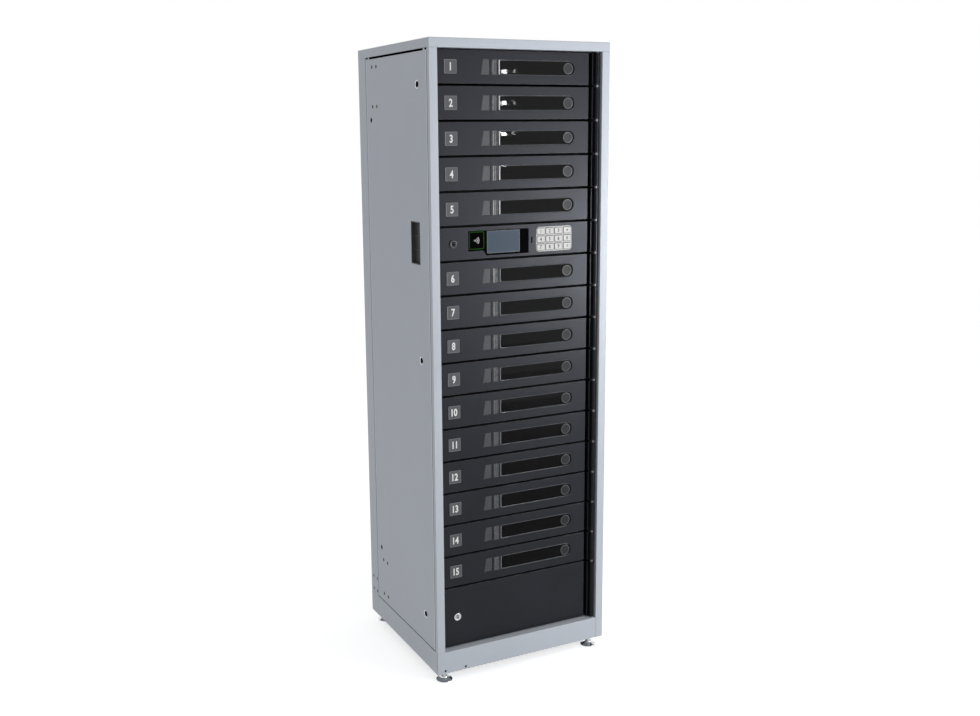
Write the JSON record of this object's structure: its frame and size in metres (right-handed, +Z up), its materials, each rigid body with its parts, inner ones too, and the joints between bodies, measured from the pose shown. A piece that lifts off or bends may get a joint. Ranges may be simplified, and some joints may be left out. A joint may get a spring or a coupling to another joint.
{
  "type": "device charging locker",
  "caption": "Free-standing steel tower of numbered charging bays with hinged windowed doors, a control panel with display, card reader and keypad, and a service door",
  "frame": {"origin": "on the floor, at the middle of the cabinet's width and depth", "axes": "+X to the right seen from the front, +Y to the back, +Z up"},
  "size_m": [0.528, 0.484, 1.7124],
  "materials": {
    "silver_steel": "satin silver powder coat",
    "panel_steel": "satin silver powder coat",
    "black_steel": "satin charcoal powder coat",
    "bay_steel": "matt black powder coat",
    "latch_steel": "zinc plated",
    "bright_steel": "ground steel",
    "chrome": "bright chrome plate",
    "key_metal": "satin silver",
    "black_plastic": "moulded black",
    "black_glass": "gloss black front"
  },
  "bodies": {
    "cabinet": {"top_cap": "silver_steel", "front_post_left": "silver_steel", "front_post_right": "silver_steel", "rear_posts": "silver_steel", "plinth_rails": "silver_steel", "base_floor": "bay_steel", "left_side_panel": "panel_steel", "right_side_panel": "panel_steel", "rear_panel": "panel_steel", "power_inlet": "black_plastic", "bay_shelves": "bay_steel", "bay_walls": "bay_steel", "charging_outlets": "black_plastic", "door_latches": "latch_steel", "hinge_rod": "bright_steel", "power_unit": "panel_steel", "panel_pulls": "black_plastic"},
    "door_01": {"door_01": "black_steel"},
    "door_02": {"door_02": "black_steel"},
    "door_03": {"door_03": "black_steel"},
    "door_04": {"door_04": "black_steel"},
    "door_05": {"door_05": "black_steel"},
    "door_06": {"door_06": "black_steel"},
    "door_07": {"door_07": "black_steel"},
    "door_08": {"door_08": "black_steel"},
    "door_09": {"door_09": "black_steel"},
    "door_10": {"door_10": "black_steel"},
    "door_11": {"door_11": "black_steel"},
    "door_12": {"door_12": "black_steel"},
    "door_13": {"door_13": "black_steel"},
    "door_14": {"door_14": "black_steel"},
    "door_15": {"door_15": "black_steel"},
    "control_door": {"control_door": "black_steel", "display_module": "black_glass", "keypad_frame": "key_metal"},
    "service_door": {"service_door": "black_steel"},
    "key_01": {"key_01": "key_metal"},
    "key_02": {"key_02": "key_metal"},
    "key_03": {"key_03": "key_metal"},
    "key_04": {"key_04": "key_metal"},
    "key_05": {"key_05": "key_metal"},
    "key_06": {"key_06": "key_metal"},
    "key_07": {"key_07": "key_metal"},
    "key_08": {"key_08": "key_metal"},
    "key_09": {"key_09": "key_metal"},
    "key_10": {"key_10": "key_metal"},
    "key_11": {"key_11": "key_metal"},
    "key_12": {"key_12": "key_metal"},
    "control_lock": {"control_lock": "chrome"},
    "service_lock": {"service_lock": "chrome"},
    "panel_lock_left_low": {"panel_lock_left_low": "chrome"},
    "panel_lock_left_middle": {"panel_lock_left_middle": "chrome"},
    "panel_lock_left_high": {"panel_lock_left_high": "chrome"},
    "panel_lock_right_low": {"panel_lock_right_low": "chrome"},
    "panel_lock_right_middle": {"panel_lock_right_middle": "chrome"},
    "panel_lock_right_high": {"panel_lock_right_high": "chrome"},
    "foot_front_left": {"foot_front_left": "chrome"},
    "foot_rear_left": {"foot_rear_left": "chrome"},
    "foot_front_right": {"foot_front_right": "chrome"},
    "foot_rear_right": {"foot_rear_right": "chrome"}
  },
  "joints": [
    {"name": "door_01_swing", "type": "hinge", "parent": "cabinet", "child": "door_01", "pos_m": [0.2315, -0.231, 0.9], "axis": [0, 0, 1], "range_deg": [0, 120]},
    {"name": "door_02_swing", "type": "hinge", "parent": "cabinet", "child": "door_02", "pos_m": [0.2315, -0.231, 0.9], "axis": [0, 0, 1], "range_deg": [0, 120]},
    {"name": "door_03_swing", "type": "hinge", "parent": "cabinet", "child": "door_03", "pos_m": [0.2315, -0.231, 0.9], "axis": [0, 0, 1], "range_deg": [0, 120]},
    {"name": "door_04_swing", "type": "hinge", "parent": "cabinet", "child": "door_04", "pos_m": [0.2315, -0.231, 0.9], "axis": [0, 0, 1], "range_deg": [0, 120]},
    {"name": "door_05_swing", "type": "hinge", "parent": "cabinet", "child": "door_05", "pos_m": [0.2315, -0.231, 0.9], "axis": [0, 0, 1], "range_deg": [0, 120]},
    {"name": "door_06_swing", "type": "hinge", "parent": "cabinet", "child": "door_06", "pos_m": [0.2315, -0.231, 0.9], "axis": [0, 0, 1], "range_deg": [0, 120]},
    {"name": "door_07_swing", "type": "hinge", "parent": "cabinet", "child": "door_07", "pos_m": [0.2315, -0.231, 0.9], "axis": [0, 0, 1], "range_deg": [0, 120]},
    {"name": "door_08_swing", "type": "hinge", "parent": "cabinet", "child": "door_08", "pos_m": [0.2315, -0.231, 0.9], "axis": [0, 0, 1], "range_deg": [0, 120]},
    {"name": "door_09_swing", "type": "hinge", "parent": "cabinet", "child": "door_09", "pos_m": [0.2315, -0.231, 0.9], "axis": [0, 0, 1], "range_deg": [0, 120]},
    {"name": "door_10_swing", "type": "hinge", "parent": "cabinet", "child": "door_10", "pos_m": [0.2315, -0.231, 0.9], "axis": [0, 0, 1], "range_deg": [0, 120]},
    {"name": "door_11_swing", "type": "hinge", "parent": "cabinet", "child": "door_11", "pos_m": [0.2315, -0.231, 0.9], "axis": [0, 0, 1], "range_deg": [0, 120]},
    {"name": "door_12_swing", "type": "hinge", "parent": "cabinet", "child": "door_12", "pos_m": [0.2315, -0.231, 0.9], "axis": [0, 0, 1], "range_deg": [0, 120]},
    {"name": "door_13_swing", "type": "hinge", "parent": "cabinet", "child": "door_13", "pos_m": [0.2315, -0.231, 0.9], "axis": [0, 0, 1], "range_deg": [0, 120]},
    {"name": "door_14_swing", "type": "hinge", "parent": "cabinet", "child": "door_14", "pos_m": [0.2315, -0.231, 0.9], "axis": [0, 0, 1], "range_deg": [0, 120]},
    {"name": "door_15_swing", "type": "hinge", "parent": "cabinet", "child": "door_15", "pos_m": [0.2315, -0.231, 0.9], "axis": [0, 0, 1], "range_deg": [0, 120]},
    {"name": "control_door_swing", "type": "hinge", "parent": "cabinet", "child": "control_door", "pos_m": [0.2315, -0.231, 0.9], "axis": [0, 0, 1], "range_deg": [0, 120]},
    {"name": "service_door_swing", "type": "hinge", "parent": "cabinet", "child": "service_door", "pos_m": [0.2315, -0.231, 0.9], "axis": [0, 0, 1], "range_deg": [0, 120]},
    {"name": "key_01_press", "type": "slide", "parent": "control_door", "child": "key_01", "axis": [0, 1, 0], "range_m": [0, 0.0012], "stiffness_N_per_m": 300},
    {"name": "key_02_press", "type": "slide", "parent": "control_door", "child": "key_02", "axis": [0, 1, 0], "range_m": [0, 0.0012], "stiffness_N_per_m": 300},
    {"name": "key_03_press", "type": "slide", "parent": "control_door", "child": "key_03", "axis": [0, 1, 0], "range_m": [0, 0.0012], "stiffness_N_per_m": 300},
    {"name": "key_04_press", "type": "slide", "parent": "control_door", "child": "key_04", "axis": [0, 1, 0], "range_m": [0, 0.0012], "stiffness_N_per_m": 300},
    {"name": "key_05_press", "type": "slide", "parent": "control_door", "child": "key_05", "axis": [0, 1, 0], "range_m": [0, 0.0012], "stiffness_N_per_m": 300},
    {"name": "key_06_press", "type": "slide", "parent": "control_door", "child": "key_06", "axis": [0, 1, 0], "range_m": [0, 0.0012], "stiffness_N_per_m": 300},
    {"name": "key_07_press", "type": "slide", "parent": "control_door", "child": "key_07", "axis": [0, 1, 0], "range_m": [0, 0.0012], "stiffness_N_per_m": 300},
    {"name": "key_08_press", "type": "slide", "parent": "control_door", "child": "key_08", "axis": [0, 1, 0], "range_m": [0, 0.0012], "stiffness_N_per_m": 300},
    {"name": "key_09_press", "type": "slide", "parent": "control_door", "child": "key_09", "axis": [0, 1, 0], "range_m": [0, 0.0012], "stiffness_N_per_m": 300},
    {"name": "key_10_press", "type": "slide", "parent": "control_door", "child": "key_10", "axis": [0, 1, 0], "range_m": [0, 0.0012], "stiffness_N_per_m": 300},
    {"name": "key_11_press", "type": "slide", "parent": "control_door", "child": "key_11", "axis": [0, 1, 0], "range_m": [0, 0.0012], "stiffness_N_per_m": 300},
    {"name": "key_12_press", "type": "slide", "parent": "control_door", "child": "key_12", "axis": [0, 1, 0], "range_m": [0, 0.0012], "stiffness_N_per_m": 300},
    {"name": "control_lock_turn", "type": "hinge", "parent": "control_door", "child": "control_lock", "pos_m": [-0.194, -0.222, 1.19945], "axis": [0, 1, 0], "range_deg": [0, 90]},
    {"name": "service_lock_turn", "type": "hinge", "parent": "service_door", "child": "service_lock", "pos_m": [-0.194, -0.222, 0.1795], "axis": [0, 1, 0], "range_deg": [0, 90]},
    {"name": "panel_lock_left_low_turn", "type": "hinge", "parent": "cabinet", "child": "panel_lock_left_low", "pos_m": [-0.264, -0.167, 0.18], "axis": [1, 0, 0], "range_deg": [0, 90]},
    {"name": "panel_lock_left_middle_turn", "type": "hinge", "parent": "cabinet", "child": "panel_lock_left_middle", "pos_m": [-0.264, -0.167, 0.891], "axis": [1, 0, 0], "range_deg": [0, 90]},
    {"name": "panel_lock_left_high_turn", "type": "hinge", "parent": "cabinet", "child": "panel_lock_left_high", "pos_m": [-0.264, -0.167, 1.602], "axis": [1, 0, 0], "range_deg": [0, 90]},
    {"name": "panel_lock_right_low_turn", "type": "hinge", "parent": "cabinet", "child": "panel_lock_right_low", "pos_m": [0.264, -0.167, 0.18], "axis": [1, 0, 0], "range_deg": [0, 90]},
    {"name": "panel_lock_right_middle_turn", "type": "hinge", "parent": "cabinet", "child": "panel_lock_right_middle", "pos_m": [0.264, -0.167, 0.891], "axis": [1, 0, 0], "range_deg": [0, 90]},
    {"name": "panel_lock_right_high_turn", "type": "hinge", "parent": "cabinet", "child": "panel_lock_right_high", "pos_m": [0.264, -0.167, 1.602], "axis": [1, 0, 0], "range_deg": [0, 90]},
    {"name": "foot_front_left_screw_out", "type": "slide", "parent": "cabinet", "child": "foot_front_left", "axis": [0, 0, -1], "range_m": [0, 0.012]},
    {"name": "foot_rear_left_screw_out", "type": "slide", "parent": "cabinet", "child": "foot_rear_left", "axis": [0, 0, -1], "range_m": [0, 0.012]},
    {"name": "foot_front_right_screw_out", "type": "slide", "parent": "cabinet", "child": "foot_front_right", "axis": [0, 0, -1], "range_m": [0, 0.012]},
    {"name": "foot_rear_right_screw_out", "type": "slide", "parent": "cabinet", "child": "foot_rear_right", "axis": [0, 0, -1], "range_m": [0, 0.012]}
  ]
}
